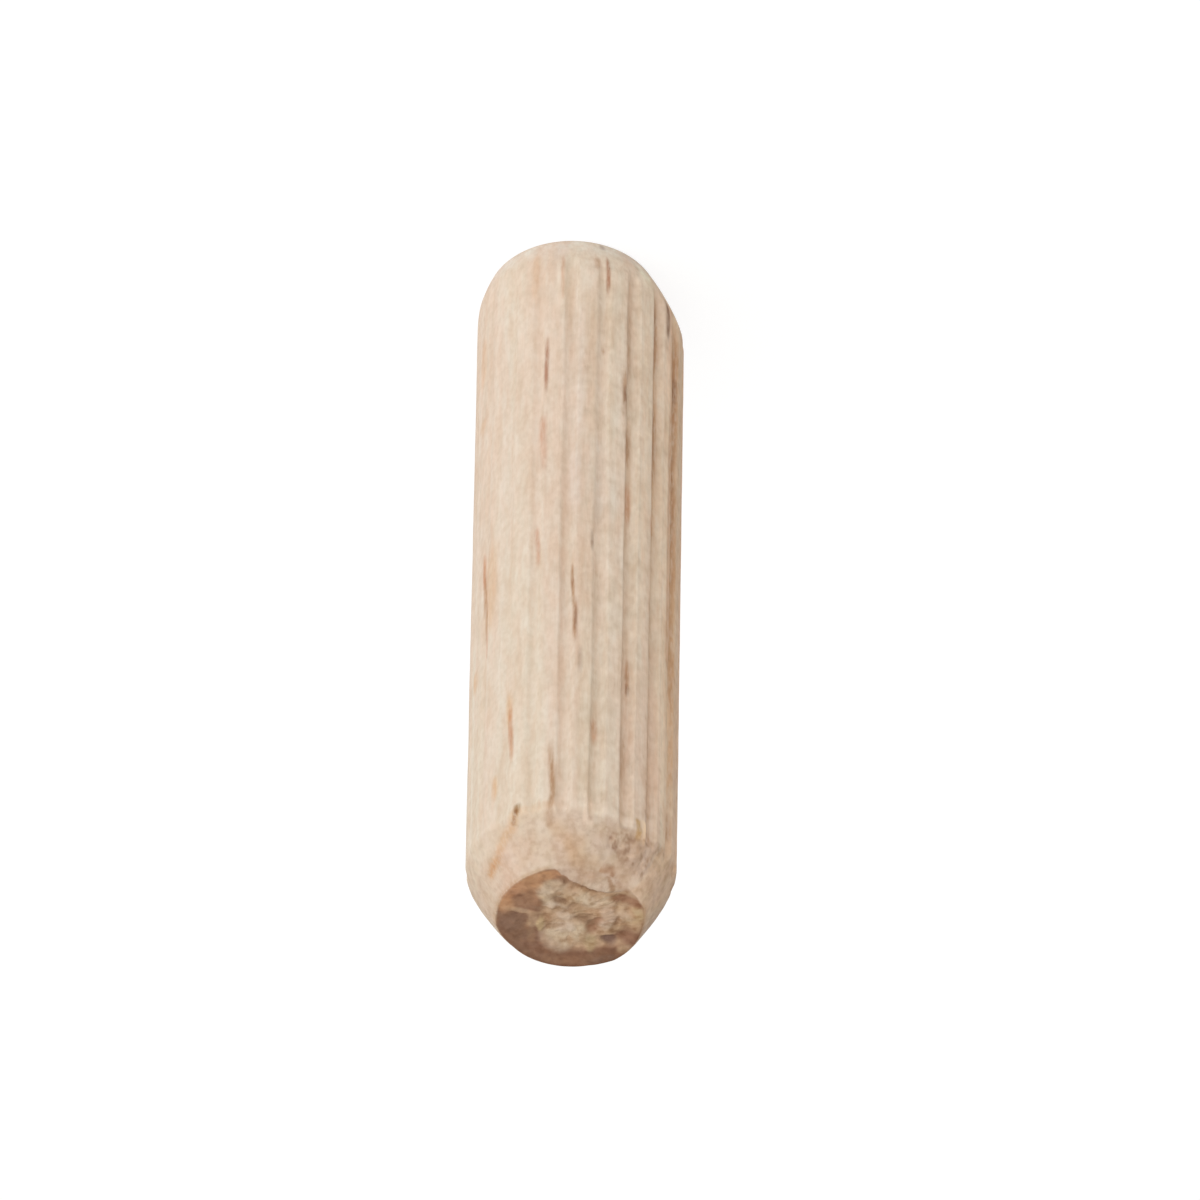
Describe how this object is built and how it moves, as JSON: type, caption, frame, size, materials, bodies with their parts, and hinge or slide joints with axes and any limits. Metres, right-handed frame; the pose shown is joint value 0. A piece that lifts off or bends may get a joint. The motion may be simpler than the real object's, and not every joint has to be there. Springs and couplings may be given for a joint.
{
  "type": "dowel pin",
  "caption": "Short fluted wooden peg with chamfered ends, glued into matching holes to line up and join two boards.",
  "frame": {"origin": "centre of the foot face, on the surface that the pin stands on", "axes": "+Z along the pin and the grain, from the foot up to the rough tip; +X is to the left in the picture; a land faces each of X and Y"},
  "size_m": [0.01, 0.01, 0.04],
  "materials": {
    "beech": "bare, cut along the grain, matt"
  },
  "bodies": {
    "root": {"dowel_pin": "beech"}
  },
  "joints": []
}
